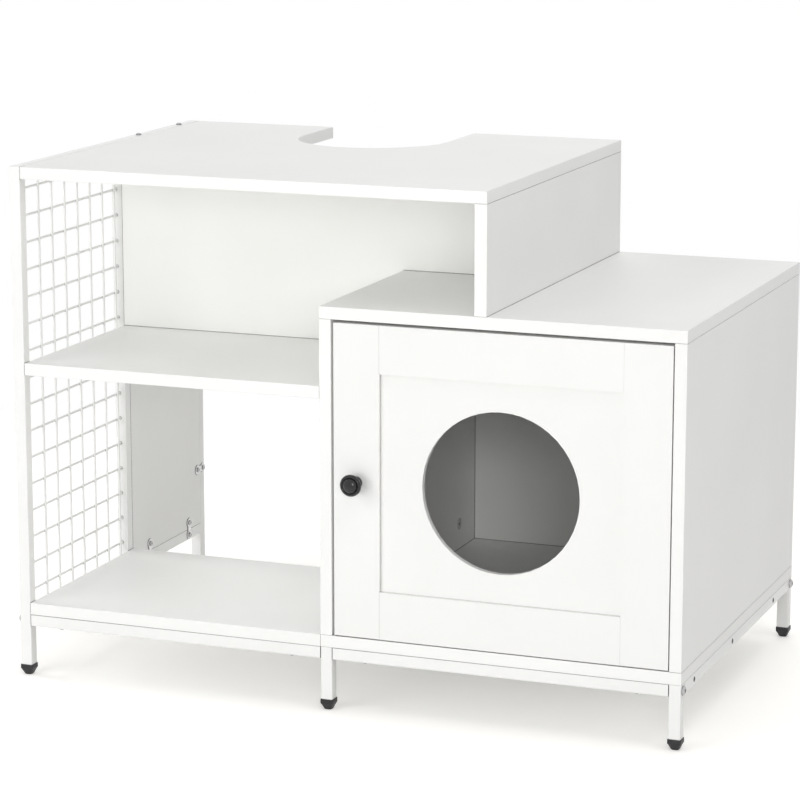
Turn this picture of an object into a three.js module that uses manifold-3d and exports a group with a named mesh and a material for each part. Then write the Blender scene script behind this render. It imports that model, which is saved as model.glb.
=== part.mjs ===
// Cat litter box cabinet: a white board cabinet with a round cat hole in its door, joined to a taller
// open bay on a welded square-tube frame with a wire side, whose top board is cut out round a pipe.
// Millimetres, +Z up, front towards -Y. Sizes are worked out with x from the left face of the frame,
// y from its front face and z from the floor; the last lines move the middle of the footprint to 0, 0.

import * as THREE from "three";
import { mergeVertices } from "three/addons/utils/BufferGeometryUtils.js";
import Module from "manifold-3d";

const wasm = await Module();
wasm.setup();

// ---------------------------------------------------------------- boards and frame
const boardThickness = 15;
const tubeSize = 15;
const tubeWall = 1.25;
const tubeCornerRadius = 1.5;
const overallDepth = 520;
const bayWidth = 391; // open bay, from the frame to the cabinet
const cabinetWidth = 449;
const railClearance = 64; // floor to the underside of the rails
const lowerBayHeight = 289; // bottom board to shelf
const upperBayHeight = 227; // shelf to top board
const cabinetInnerHeight = 385;
const upperBackSetback = 277; // front edge of the frame to the upper back panel
const topBoardWidth = 600;
const railEndGap = 0.5; // bolted rail end to the leg beside it
const weldDepth = 0.5; // one tube into the wall of the next

// ---------------------------------------------------------------- pipe cut-out in the top board
const pipeCutWidth = 200;
const pipeCutDepth = 200; // from the rear edge
const pipeCutFromFrame = 297; // frame to the middle of the cut-out

// ---------------------------------------------------------------- wire side
const wireRadius = 1.5;
const wireSpacing = 2.4; // between the two layers of wires, which are welded where they cross
const wirePitchUp = 33.7;
const wirePitchAcross = 34.7;
const lowestWireRise = 26; // bottom rail to the lowest wire
const rearWireInset = 10.5; // middle upright to the nearest wire
const wiresAcross = 16;
const wiresUp = 7;

// ---------------------------------------------------------------- feet
const footHeight = 13.5;
const footCollarHeight = 5.5;
const footCollarWall = 0.75;
const footTipHalf = 4.6;
const footClearance = 0.1;

// ---------------------------------------------------------------- door
const doorGapLeft = 3;
const doorGapRight = 1.2;
const doorGapTop = 3.5;
const doorGapBottom = 1.25;
const doorThickness = 15;
const stileWidth = 58;
const doorRailWidth = 58;
const panelRecess = 5; // front of the stiles to the front of the panel
const panelThickness = 8;
const tongueDepth = 8; // panel and rail tongues
const tongueGap = 0.25; // left at the bottom and the sides of a groove
const catHoleRadius = 97;
const knobProjection = 25;
const knobRadius = 13.2;
const knobFootRadius = 7.5;
const knobRimHeight = 21; // door front to the rim round the dome
const knobDomeRadius = 9.2;
const knobScrewRadius = 2;
const knobScrewReach = 10; // into the knob
const knobHoleDepth = 12;
const knobScrewHeadRadius = 4;

// ---------------------------------------------------------------- door hinges
const hingeInset = 75; // end of the door to the middle of a hinge
const poleInset = 10; // door edge to the line that the door turns about
const poleDepth = 4; // door front to that line
const doorOpening = 100; // degrees
const cupRadius = 17.5;
const cupDepth = 11.7;
const cupWall = 0.8;
const cupEdge = 3; // door edge to the cup
const cupFlange = 1.2;
const cupWingHalf = 27.5;
const cupScrewSetback = 9.5;
const cupScrewHalfPitch = 22.5;
const cupPinRadius = 1.2;
const cupPinReach = 6; // from the turning line to the pin in the cup
const armPivotBack = 14.5; // from the turning line to the arm's pivot, backwards
const armPivotAside = 19; // and towards the knob side
const armPinRadius = 1.3;
const pinClearance = 0.1; // radius of a faceted hole over the pin in it
const armHalfBreadth = 4;
const armWebThickness = 1.4;
const armHalfHeight = 7.5;
const cheekThickness = 1.25;
const armSlope = 40; // degrees, from the pivot to the bend
const armRear = 78; // door front to the rear end of the arm
const hingePlateThickness = 4.5;
const hingePlateFront = 44;
const hingePlateScrewSetback = 52;
const hingePlateHalfPitch = 16;
const hingePlateWingHalf = 23;
const hingePlateWing = 2;
const linkHalfHeight = 5.5;
const linkThickness = 2;
const linkBow = 5;
const linkEyeRadius = 2.4;
const linkSlotWall = 0.9;
const linkSlotSide = 0.6; // play of the cup pin across the slot

// ---------------------------------------------------------------- fasteners
const camRadius = 7.6; // bore for a cam lock
const camBoreDepth = 12.5;
const camSetback = 34; // joint to the middle of the cam
const camInset = 74; // front or rear edge to the cam
const bayCamInset = 40;
const fitGap = 0.1; // round a fastener in its hole
const screwShankRadius = 1.95;
const screwHeadRadius = 3.6;
const screwHeadHeight = 2.4;
const plateScrewLength = 12;
const boltRadius = 2.95;
const boltHeadRadius = 5.75;
const boltHeadHeight = 3.2;
const threadReach = 10.5; // bolt into the threaded end of a rail
const threadedEnd = 12; // length of a rail's threaded end
const plateHolePitch = 17;
const plateEndRadius = 6.5;
const plateThickness = 1.5;
const plateHoleRadius = 2.1;
const frontPlateSetback = 342; // front of the frame to the first mounting plate
const rearPlateInset = 54; // rear of the frame to the second one
const lowPlateRise = 78; // bottom rail to the plate on the rear upright
const highPlateDrop = 85; // top rail to the one above it
const railHoleRadius = 3;
const railHoleSetbacks = [56, 226, 425];

// ---------------------------------------------------------------- levels and lines
const bayLeft = tubeSize;
const bayRight = bayLeft + bayWidth;
const cabinetRight = bayRight + cabinetWidth;
const innerLeft = bayRight + boardThickness;
const innerRight = cabinetRight - boardThickness;
const railTop = railClearance + tubeSize;
const floorTop = railTop + boardThickness;
const shelfUnder = floorTop + lowerBayHeight;
const shelfTop = shelfUnder + boardThickness;
const topUnder = shelfTop + upperBayHeight;
const topTop = topUnder + boardThickness;
const cabinetUnder = floorTop + cabinetInnerHeight;
const cabinetTop = cabinetUnder + boardThickness;
const topRight = bayLeft + topBoardWidth;
const upperPanelLeft = topRight - boardThickness;
const upperBackRear = upperBackSetback + boardThickness;
const rearTube = overallDepth - tubeSize;
const halfTube = tubeSize / 2;
const halfBoard = boardThickness / 2;
const railMiddle = railClearance + halfTube;
const upperBackMiddle = upperBackSetback + halfBoard;

const doorLeft = innerLeft + doorGapLeft;
const doorRight = innerRight - doorGapRight;
const doorBottom = floorTop + doorGapBottom;
const doorTop = cabinetUnder - doorGapTop;
const stileInnerLeft = doorLeft + stileWidth;
const stileInnerRight = doorRight - stileWidth;
const doorRailInnerLow = doorBottom + doorRailWidth;
const doorRailInnerHigh = doorTop - doorRailWidth;
const panelFront = panelRecess;
const panelBack = panelFront + panelThickness;
const holeX = (stileInnerLeft + stileInnerRight) / 2;
const holeZ = (doorRailInnerLow + doorRailInnerHigh) / 2;
const knobX = doorLeft + stileWidth / 2;

// ---------------------------------------------------------------- materials
const paint = (color, roughness, metalness) =>
  new THREE.MeshStandardMaterial({ color, roughness, metalness, flatShading: true });
const whiteBoard = paint(0xf4f4f2, 0.5, 0);
const whiteMetal = paint(0xf2f2f0, 0.4, 0.1);
const blackPlastic = paint(0x161616, 0.55, 0);
const blackMetal = paint(0x1c1c1c, 0.35, 0.6);
const zinc = paint(0xb8babc, 0.35, 0.9);

// ---------------------------------------------------------------- solids
const AXES = {
  x: new THREE.Vector3(1, 0, 0),
  y: new THREE.Vector3(0, 1, 0),
  z: new THREE.Vector3(0, 0, 1),
};

function toSolid(geometry) {
  const bare = geometry.clone();
  bare.deleteAttribute("normal");
  bare.deleteAttribute("uv");
  const merged = mergeVertices(bare, 1e-4);
  const mesh = new wasm.Mesh({
    numProp: 3,
    vertProperties: new Float32Array(merged.attributes.position.array),
    triVerts: new Uint32Array(merged.index.array),
  });
  return new wasm.Manifold(mesh);
}

function toGeometry(solid) {
  const mesh = solid.getMesh();
  const geometry = new THREE.BufferGeometry();
  geometry.setAttribute("position", new THREE.BufferAttribute(mesh.vertProperties, 3));
  geometry.setIndex(new THREE.BufferAttribute(mesh.triVerts, 1));
  return geometry;
}

function block(low, high) {
  const size = high.map((value, i) => value - low[i]);
  const middle = high.map((value, i) => (value + low[i]) / 2);
  return toSolid(new THREE.BoxGeometry(...size).translate(...middle));
}

// A geometry drawn along +Z from the origin, turned to point along an axis and moved to a point.
// The sign of a direction such as "-x" says which way it points.
function aimed(geometry, direction, point) {
  const forward = AXES[direction.slice(-1)].clone();
  if (direction.startsWith("-")) forward.negate();
  const across = AXES[direction.endsWith("z") ? "x" : "z"].clone();
  const third = forward.clone().cross(across);
  const turn = new THREE.Matrix4().makeBasis(across, third, forward);
  return geometry.clone().applyMatrix4(turn).translate(...point);
}

function cylinder(radius, length, sides) {
  const geometry = new THREE.CylinderGeometry(radius, radius, length, sides);
  return geometry.rotateX(Math.PI / 2).translate(0, 0, length / 2);
}

function rod(direction, point, radius, length, sides) {
  return toSolid(aimed(cylinder(radius, length, sides), direction, point));
}

// A closed outline of [radius, height] points, turned about +Z.
function turned(profile, sides) {
  const points = profile.map(([radius, height]) => new THREE.Vector2(radius, height));
  return new THREE.LatheGeometry(points, sides).rotateX(Math.PI / 2);
}

function outline(points) {
  return new THREE.Shape(points.map(([x, y]) => new THREE.Vector2(x, y)));
}

// An outline in plan, [x, y] points, raised from one level to another.
function raised(shape, low, high, curveSegments = 12) {
  const options = { depth: high - low, bevelEnabled: false, curveSegments };
  return toSolid(new THREE.ExtrudeGeometry(shape, options).translate(0, 0, low));
}

function moved(point, direction, distance) {
  const i = "xyz".indexOf(direction.slice(-1));
  const sign = direction.startsWith("-") ? -1 : 1;
  return point.map((value, n) => (n === i ? value + sign * distance : value));
}

// ---------------------------------------------------------------- the object and its holes
const cabinet = new THREE.Group();
const holes = [];

function drill(direction, point, radius, depth, sides) {
  const before = 1;
  const hole = rod(direction, moved(point, direction, -before), radius, depth + before, sides);
  holes.push(hole);
}

function meets(a, b) {
  const one = a.boundingBox();
  const two = b.boundingBox();
  return [0, 1, 2].every((i) => one.min[i] < two.max[i] && two.min[i] < one.max[i]);
}

function drilled(solid) {
  const through = holes.filter((hole) => meets(hole, solid));
  return through.reduce((rest, hole) => rest.subtract(hole), solid);
}

// Puts a piece into the object, with its own origin at its lowest corner or at a given point.
function add(name, material, shape, origin = null) {
  const geometry = shape instanceof THREE.BufferGeometry ? shape : toGeometry(shape);
  geometry.computeBoundingBox();
  const low = geometry.boundingBox.min;
  const at = origin ?? [low.x, low.y, low.z].map(Math.round);
  geometry.translate(-at[0], -at[1], -at[2]);
  const mesh = new THREE.Mesh(geometry, material);
  mesh.name = name;
  mesh.position.set(...at);
  cabinet.add(mesh);
}

// ---------------------------------------------------------------- fasteners and what they need drilled
const screwShape = turned([
  [0, -screwHeadHeight],
  [screwHeadRadius * 0.55, -screwHeadHeight],
  [screwHeadRadius, -screwHeadHeight * 0.45],
  [screwHeadRadius, 0],
  [screwShankRadius, 0],
  [screwShankRadius, plateScrewLength - screwShankRadius * 1.5],
  [0, plateScrewLength],
], 12);

function screw(name, direction, seat) {
  drill(direction, seat, screwShankRadius + fitGap, plateScrewLength + 1, 12);
  add(name, zinc, aimed(screwShape, direction, seat), seat);
}

// A bolt through a tube into the threaded end of a rail.
const boltLength = tubeSize + railEndGap + threadReach;
const boltShape = (() => {
  const body = turned([
    [0, -boltHeadHeight],
    [boltHeadRadius * 0.5, -boltHeadHeight],
    [boltHeadRadius * 0.9, -boltHeadHeight * 0.55],
    [boltHeadRadius, 0],
    [boltRadius, 0],
    [boltRadius, boltLength],
    [0, boltLength],
  ], 12);
  const socket = toSolid(cylinder(boltHeadRadius * 0.4, boltHeadHeight, 6));
  return toGeometry(toSolid(body).subtract(socket.translate([0, 0, -boltHeadHeight * 1.55])));
})();

function bolt(name, direction, seat) {
  drill(direction, seat, boltRadius + fitGap, tubeSize + 0.2, 16);
  add(name, zinc, aimed(boltShape, direction, seat), seat);
}
const rearTubeMiddle = overallDepth - halfTube;
bolt("frame_bolt_left_front", "x", [0, halfTube, railMiddle]);
bolt("frame_bolt_left_mid", "x", [0, upperBackMiddle, railMiddle]);
bolt("frame_bolt_mid_cross", "-x", [bayRight + tubeSize, upperBackMiddle, railMiddle]);
bolt("frame_bolt_mid_rear", "x", [bayRight, rearTubeMiddle, railMiddle]);
bolt("frame_bolt_right_front", "-x", [cabinetRight, halfTube, railMiddle]);
bolt("frame_bolt_right_rear", "-x", [cabinetRight, rearTubeMiddle, railMiddle]);

// The front rails meet the middle leg from both sides, on one threaded stud.
const studStart = [bayRight - railEndGap - threadReach, halfTube, railMiddle];
const studLength = tubeSize + (railEndGap + threadReach) * 2;
add("frame_stud_mid_front", zinc, aimed(cylinder(boltRadius, studLength, 16), "x", studStart), studStart);
drill("x", [bayRight, halfTube, railMiddle], boltRadius + fitGap, tubeSize + 0.2, 16);

// Bores for the cam locks that draw the boards together.
function camBore(into, point) {
  drill(into, point, camRadius, camBoreDepth, 20);
}
for (const y of [camInset, overallDepth - camInset]) {
  for (const z of [floorTop + camSetback, cabinetUnder - camSetback]) {
    camBore("-x", [innerLeft, y, z]);
    camBore("x", [innerRight, y, z]);
  }
  for (const z of [cabinetTop + camSetback, topUnder - camSetback]) {
    camBore("x", [upperPanelLeft, y, z]);
  }
}
for (const y of [bayCamInset, upperBackSetback - bayCamInset]) {
  camBore("z", [bayRight - camSetback, y, shelfUnder]);
  camBore("z", [bayRight - camSetback, y, railTop]);
}

// Two-hole plates that tie the rear left panel to the frame.
function mountingPlate(name, first, second) {
  const half = plateEndRadius * 0.6;
  const low = [0, 1, 2].map((i) => Math.min(first[i], second[i]) - (first[i] === second[i] ? half : 0));
  const high = [0, 1, 2].map((i) => Math.max(first[i], second[i]) + (first[i] === second[i] ? half : 0));
  low[0] = first[0];
  high[0] = first[0] + plateThickness;
  let shape = block(low, high);
  for (const at of [first, second]) {
    shape = shape.add(rod("x", at, plateEndRadius, plateThickness, 16));
  }
  for (const at of [first, second]) {
    shape = shape.subtract(rod("x", moved(at, "-x", 1), plateHoleRadius, plateThickness + 2, 8));
  }
  add(name, zinc, shape, first);
}
const plateAcross = (name, y) =>
  mountingPlate(name, [bayLeft, y, railMiddle], [bayLeft, y, railMiddle + plateHolePitch]);
plateAcross("mounting_plate_front", frontPlateSetback);
plateAcross("mounting_plate_rear", overallDepth - rearPlateInset);
const plateAside = (name, z) =>
  mountingPlate(name, [bayLeft, rearTubeMiddle - plateHolePitch, z], [bayLeft, rearTubeMiddle, z]);
plateAside("mounting_plate_low", railTop + lowPlateRise);
plateAside("mounting_plate_high", topUnder - highPlateDrop);

// Small holes in the outer wall of the right rail.
for (const y of railHoleSetbacks) {
  drill("-x", [cabinetRight, y, railMiddle], railHoleRadius, tubeWall * 2, 12);
}

// ---------------------------------------------------------------- tubes
const tubeSection = (() => {
  const h = halfTube;
  const r = tubeCornerRadius;
  const shape = new THREE.Shape();
  shape.absarc(h - r, h - r, r, 0, Math.PI / 2);
  shape.absarc(r - h, h - r, r, Math.PI / 2, Math.PI);
  shape.absarc(r - h, r - h, r, Math.PI, Math.PI * 1.5);
  shape.absarc(h - r, r - h, r, Math.PI * 1.5, Math.PI * 2);
  return shape;
})();
const tubeBore = (() => {
  const b = halfTube - tubeWall;
  return outline([[b, b], [-b, b], [-b, -b], [b, -b]]);
})();

// A bar of a tube's section, from one point along an axis to a level. The point is the tube's
// lowest corner.
function bar(section, axis, corner, end) {
  const i = "xyz".indexOf(axis);
  const options = { depth: end - corner[i], bevelEnabled: false, curveSegments: 1 };
  const middle = corner.map((value, n) => value + (n === i ? 0 : halfTube));
  return toSolid(aimed(new THREE.ExtrudeGeometry(section, options), axis, middle));
}

// Tubes welded into one frame: each is [axis, corner, end, cavity start, cavity end].
function welded(tubes) {
  const outside = tubes.map(([axis, corner, end]) => bar(tubeSection, axis, corner, end));
  const inside = tubes.map(([axis, corner, , from, to]) => {
    const start = corner.map((value, n) => ("xyz"[n] === axis ? from : value));
    return bar(tubeBore, axis, start, to);
  });
  const whole = outside.reduce((all, one) => all.add(one));
  return inside.reduce((rest, one) => rest.subtract(one), whole);
}

const legStart = footHeight - footCollarHeight;
const legFrom = legStart - 1;
const sideStart = tubeSize - weldDepth;
const sideEnd = rearTube + weldDepth;
const sideRail = (x) => ["y", [x, sideStart, railClearance], sideEnd, tubeSize, rearTube];
const upright = (y) => ["z", [0, y, legStart], topTop, legFrom, topTop - tubeWall];
const leg = (x, y) => ["z", [x, y, legStart], railTop, legFrom, railTop - tubeWall];
const addFrame = (name, solid) => add(name, whiteMetal, drilled(solid));

addFrame("left_side_frame", welded([
  upright(0),
  upright(rearTube),
  ["y", [0, 0, topUnder], overallDepth, tubeWall, overallDepth - tubeWall],
  sideRail(0),
  ["z", [0, upperBackSetback, railTop - weldDepth], topUnder + weldDepth, railTop - tubeWall - 1, topUnder],
]));
const rightLegX = cabinetRight - tubeSize;
addFrame("mid_leg_frame", welded([leg(bayRight, 0), leg(bayRight, rearTube), sideRail(bayRight)]));
addFrame("right_leg_frame", welded([leg(rightLegX, 0), leg(rightLegX, rearTube), sideRail(rightLegX)]));

// A loose rail with a threaded end at both sides.
function looseRail(name, y, left, right) {
  const from = left + railEndGap;
  const to = right - railEndGap;
  const corner = [from, y, railClearance];
  const hollow = [from + threadedEnd, y, railClearance];
  const thread = [from - 1, y + halfTube, railMiddle];
  const outside = bar(tubeSection, "x", corner, to);
  const inside = bar(tubeBore, "x", hollow, to - threadedEnd);
  const bore = rod("x", thread, boltRadius + fitGap, to - from + 2, 16);
  addFrame(name, outside.subtract(inside).subtract(bore));
}
looseRail("left_front_rail", 0, bayLeft, bayRight);
looseRail("left_cross_rail", upperBackSetback, bayLeft, bayRight);
looseRail("cabinet_front_rail", 0, bayRight + tubeSize, rightLegX);
looseRail("cabinet_rear_rail", rearTube, bayRight + tubeSize, rightLegX);

// ---------------------------------------------------------------- wire side
function wireSide() {
  const middle = halfTube;
  const upX = middle + wireSpacing / 2;
  const acrossX = middle - wireSpacing / 2;
  let mesh = null;
  const join = (wire) => {
    mesh = mesh ? mesh.add(wire) : wire;
  };
  for (let i = 0; i < wiresAcross; i++) {
    const z = railTop + lowestWireRise + i * wirePitchUp;
    join(rod("y", [acrossX, tubeSize, z], wireRadius, upperBackSetback - tubeSize, 6));
  }
  for (let i = 0; i < wiresUp; i++) {
    const y = upperBackSetback - rearWireInset - i * wirePitchAcross;
    join(rod("z", [upX, y, railTop], wireRadius, topUnder - railTop, 6));
  }
  return mesh;
}
add("wire_side", whiteMetal, wireSide());

// ---------------------------------------------------------------- feet
// A square black cap: a collar round the end of the leg, tapering to a small rounded tip.
function squareRing(half, corner, z) {
  const ring = [];
  for (let side = 0; side < 4; side++) {
    for (let step = 0; step < 3; step++) {
      const angle = (side + step / 2) * (Math.PI / 2);
      const turnAt = (side + 0.5) * (Math.PI / 2);
      const cx = Math.sign(Math.cos(turnAt)) * (half - corner);
      const cy = Math.sign(Math.sin(turnAt)) * (half - corner);
      ring.push([cx + corner * Math.cos(angle), cy + corner * Math.sin(angle), z]);
    }
  }
  return ring;
}

function lofted(rings) {
  const count = rings[0].length;
  const positions = rings.flat(2);
  const indices = [];
  for (let r = 0; r + 1 < rings.length; r++) {
    for (let i = 0; i < count; i++) {
      const a = r * count + i;
      const b = r * count + ((i + 1) % count);
      indices.push(a, b, b + count, a, b + count, a + count);
    }
  }
  const last = (rings.length - 1) * count;
  for (let i = 1; i + 1 < count; i++) {
    indices.push(0, i + 1, i, last, last + i, last + i + 1);
  }
  const geometry = new THREE.BufferGeometry();
  geometry.setAttribute("position", new THREE.Float32BufferAttribute(positions, 3));
  geometry.setIndex(indices);
  return geometry;
}

function foot(x, y) {
  const seatHalf = halfTube + footClearance;
  const collarHalf = seatHalf + footCollarWall;
  const seat = footHeight - footCollarHeight;
  const body = lofted([
    squareRing(footTipHalf, footTipHalf * 0.8, 0),
    squareRing(footTipHalf + 1, footTipHalf * 0.8, 1),
    squareRing(collarHalf, 2, seat),
    squareRing(collarHalf, 2, footHeight - 0.5),
    squareRing(collarHalf - 0.3, 2, footHeight),
    squareRing(seatHalf, tubeCornerRadius, footHeight),
    squareRing(seatHalf, tubeCornerRadius, seat),
  ]);
  return body.translate(x + halfTube, y + halfTube, 0);
}
const footPlaces = {
  foot_left_front: [0, 0],
  foot_left_rear: [0, rearTube],
  foot_mid_front: [bayRight, 0],
  foot_mid_rear: [bayRight, rearTube],
  foot_right_front: [rightLegX, 0],
  foot_right_rear: [rightLegX, rearTube],
};
for (const [name, [x, y]] of Object.entries(footPlaces)) {
  add(name, blackPlastic, foot(x, y), [x + halfTube, y + halfTube, 0]);
}

// ---------------------------------------------------------------- boards
const addBoard = (name, solid) => add(name, whiteBoard, drilled(solid));

function topBoard() {
  const middle = bayLeft + pipeCutFromFrame;
  const r = pipeCutWidth / 2;
  const shape = new THREE.Shape();
  shape.moveTo(bayLeft, 0);
  shape.lineTo(topRight, 0);
  shape.lineTo(topRight, overallDepth);
  shape.lineTo(middle + r, overallDepth);
  shape.absarc(middle, overallDepth - pipeCutDepth + r, r, 0, Math.PI, true);
  shape.lineTo(middle - r, overallDepth);
  shape.lineTo(bayLeft, overallDepth);
  return raised(shape, topUnder, topTop, 24);
}
addBoard("top_board", topBoard());
addBoard("shelf", block([bayLeft, 0, shelfUnder], [bayRight, upperBackRear, shelfTop]));
addBoard("left_bottom_board", block([bayLeft, 0, railTop], [bayRight, upperBackRear, floorTop]));
addBoard("rear_left_panel", block([0, upperBackRear, railTop], [tubeSize, rearTube, topUnder]));
const upperBack = block([bayLeft, upperBackSetback, shelfTop], [upperPanelLeft, upperBackRear, topUnder]);
const upperBackStep = block([bayRight, 0, shelfTop - 1], [cabinetRight, overallDepth, cabinetTop]);
addBoard("upper_back_panel", upperBack.subtract(upperBackStep));
addBoard("upper_right_panel",
  block([upperPanelLeft, 0, cabinetTop], [topRight, overallDepth, topUnder]));
addBoard("cabinet_bottom", block([bayRight, 0, railTop], [cabinetRight, overallDepth, floorTop]));
addBoard("cabinet_top", block([bayRight, 0, cabinetUnder], [cabinetRight, overallDepth, cabinetTop]));
addBoard("cabinet_back", block([innerLeft, overallDepth - boardThickness, floorTop],
  [innerRight, overallDepth, cabinetUnder]));

// ---------------------------------------------------------------- hinges
// The door turns about a line inside its own edge. A bowed link joins a pin in the cup to a pivot
// on the arm: its eye on the arm turns, and its other end is slotted, because a single link can
// only follow the pin exactly when the door is shut or fully open.
const poleX = doorRight - poleInset;
const poleY = poleDepth;
const armPivot = [poleX - armPivotAside, poleY + armPivotBack];
const armPivotAngle = Math.atan2(armPivotBack, -armPivotAside);
const halfOpening = THREE.MathUtils.degToRad(doorOpening / 2);
const about = (angle) => [
  poleX + cupPinReach * Math.cos(angle),
  poleY + cupPinReach * Math.sin(angle),
];
const cupPinShut = about(armPivotAngle - halfOpening);
const cupPinHalf = about(armPivotAngle);
const spanTo = (pin) => Math.hypot(pin[0] - armPivot[0], pin[1] - armPivot[1]);
const linkAngle = Math.atan2(cupPinShut[1] - armPivot[1], cupPinShut[0] - armPivot[0]);
const linkLength = spanTo(cupPinShut);
const linkSlack = linkLength - spanTo(cupPinHalf);
const cupX = doorRight - cupEdge - cupRadius;
const hingeHeights = { bottom: doorBottom + hingeInset, top: doorTop - hingeInset };

function cupScrewSeat(z, side) {
  return [cupX - cupScrewSetback, doorThickness + cupFlange, z + side * cupScrewHalfPitch];
}

function hingeCup(z) {
  const back = doorThickness;
  const shell = rod("-y", [cupX, back, z], cupRadius, cupDepth, 32);
  const rim = rod("y", [cupX, back, z], cupRadius + 1.5, cupFlange, 32);
  const wing = block([cupX - cupScrewSetback - 5.5, back, z - cupWingHalf],
    [cupX - cupScrewSetback + 5.5, back + cupFlange, z + cupWingHalf]);
  const inner = cupRadius - cupWall;
  const cavity = rod("-y", [cupX, back + cupFlange + 1, z], inner, cupDepth + cupFlange + 1 - cupWall, 32);
  const pin = rod("z", [...cupPinShut, z - cupRadius], cupPinRadius, cupRadius * 2, 12);
  return shell.add(rim).add(wing).subtract(cavity).add(pin.intersect(shell));
}

function hingeLink(z) {
  const slotHalf = cupPinRadius + linkSlotSide;
  const eye = slotHalf + linkSlotWall;
  const bowRadius = ((linkLength / 2) ** 2 + linkBow ** 2) / (2 * linkBow);
  const bowAt = (s) => Math.sqrt(bowRadius ** 2 - (s - linkLength / 2) ** 2) - bowRadius + linkBow;
  const upper = [];
  const lower = [];
  const steps = 8;
  for (let i = 0; i <= steps; i++) {
    const s = (linkLength * i) / steps;
    upper.push([s, -bowAt(s) + linkThickness / 2]);
    lower.unshift([s, -bowAt(s) - linkThickness / 2]);
  }
  const low = z - linkHalfHeight;
  const high = z + linkHalfHeight;
  const strip = raised(outline([...lower, ...upper]), low, high);
  const barrel = rod("z", [0, 0, low], linkEyeRadius, linkHalfHeight * 2, 16);
  const eyeEnd = rod("z", [linkLength, 0, low], eye, linkHalfHeight * 2, 16);
  const eyeNear = rod("z", [linkLength - linkSlack, 0, low], eye, linkHalfHeight * 2, 16);
  const eyeBody = block([linkLength - linkSlack, -eye, low], [linkLength, eye, high]);
  const slotEnds = [linkLength - linkSlack, linkLength].map((s) =>
    rod("z", [s, 0, low - 1], slotHalf, linkHalfHeight * 2 + 2, 12));
  const slotBody = block([linkLength - linkSlack, -slotHalf, low - 1], [linkLength, slotHalf, high + 1]);
  const pivot = rod("z", [0, 0, low - 1], armPinRadius + pinClearance, linkHalfHeight * 2 + 2, 16);
  let link = strip.add(barrel).add(eyeEnd).add(eyeNear).add(eyeBody);
  for (const cut of [...slotEnds, slotBody, pivot]) link = link.subtract(cut);
  const turn = new THREE.Matrix4().makeRotationZ(linkAngle);
  return toGeometry(link).applyMatrix4(turn).translate(...armPivot, 0);
}

function hingeArm(z) {
  const slope = THREE.MathUtils.degToRad(armSlope);
  const along = [Math.cos(slope), Math.sin(slope)];
  const aside = [-along[1], along[0]];
  const seatX = innerRight - hingePlateThickness;
  const rearMiddle = seatX - armHalfBreadth;
  const bendY = armPivot[1] + (rearMiddle - armPivot[0]) * Math.tan(slope);
  const shift = armHalfBreadth * Math.tan((Math.PI / 2 - slope) / 2);
  const on = (s, t) => armPivot.map((value, i) => value + along[i] * s + aside[i] * t);
  // The side of the channel at an offset: from the pivot to the bend and on to the rear end.
  const side = (offset, start) => [
    on(start, offset),
    [rearMiddle - offset, bendY + (offset / armHalfBreadth) * shift],
    [rearMiddle - offset, armRear],
  ];
  const nose = [];
  for (let i = 1; i < 8; i++) {
    const angle = slope + Math.PI / 2 + (Math.PI * i) / 8;
    nose.push([
      armPivot[0] + armHalfBreadth * Math.cos(angle),
      armPivot[1] + armHalfBreadth * Math.sin(angle),
    ]);
  }
  const outer = [...side(armHalfBreadth, 0).reverse(), ...nose, ...side(-armHalfBreadth, 0)];
  const web = armHalfBreadth - armWebThickness;
  const clear = linkEyeRadius + 1.5;
  const inner = [
    [rearMiddle - web, armRear + 1],
    side(web, clear)[1],
    on(clear, web),
    on(clear, armHalfBreadth + 1),
    on(-armHalfBreadth - 1, armHalfBreadth + 1),
    on(-armHalfBreadth - 1, -armHalfBreadth - 1),
    [rearMiddle + armHalfBreadth + 1, bendY - shift - 4],
    [rearMiddle + armHalfBreadth + 1, armRear + 1],
  ];
  const low = z - armHalfHeight;
  const high = z + armHalfHeight;
  const channel = raised(outline(inner), low + cheekThickness, high - cheekThickness);
  const pin = rod("z", [...armPivot, low - 0.5], armPinRadius, armHalfHeight * 2 + 1, 16);
  return raised(outline(outer), low, high).subtract(channel).add(pin);
}

function hingePlate(z) {
  const inner = innerRight - hingePlateThickness;
  const body = block([inner, hingePlateFront, z - armHalfHeight], [innerRight, armRear, z + armHalfHeight]);
  const wing = block(
    [innerRight - hingePlateWing, hingePlateScrewSetback - 6, z - hingePlateWingHalf],
    [innerRight, hingePlateScrewSetback + 6, z + hingePlateWingHalf],
  );
  return body.add(wing);
}

for (const [place, z] of Object.entries(hingeHeights)) {
  for (const [side, sign] of [["lower", -1], ["upper", 1]]) {
    screw(`hinge_cup_screw_${place}_${side}`, "-y", cupScrewSeat(z, sign));
    const plateSeat = [
      innerRight - hingePlateWing,
      hingePlateScrewSetback,
      z + sign * hingePlateHalfPitch,
    ];
    screw(`hinge_plate_screw_${place}_${side}`, "x", plateSeat);
  }
  add(`hinge_plate_${place}`, zinc, drilled(hingePlate(z)));
  add(`hinge_arm_${place}`, zinc, hingeArm(z));
  add(`hinge_link_${place}`, zinc, hingeLink(z), [...armPivot, z]);
  add(`hinge_cup_${place}`, zinc, drilled(hingeCup(z)), [cupX, doorThickness, z]);
  drill("-y", [cupX, doorThickness, z], cupRadius + fitGap, cupDepth + fitGap, 32);
}

const cabinetSide = (x) => block([x, 0, floorTop], [x + boardThickness, overallDepth, cabinetUnder]);
addBoard("cabinet_left_side", cabinetSide(bayRight));
addBoard("cabinet_right_side", cabinetSide(innerRight));

// ---------------------------------------------------------------- door
const knobSeat = [knobX, doorThickness, holeZ];
drill("-y", knobSeat, knobScrewRadius + fitGap, doorThickness + 1, 10);
const grooveDepth = tongueDepth + tongueGap;

// The groove for the panel and the rail tongues, along one stile or rail.
function groove(low, high) {
  return block([low[0], panelFront - tongueGap, low[1]], [high[0], panelBack + tongueGap, high[1]]);
}

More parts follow.
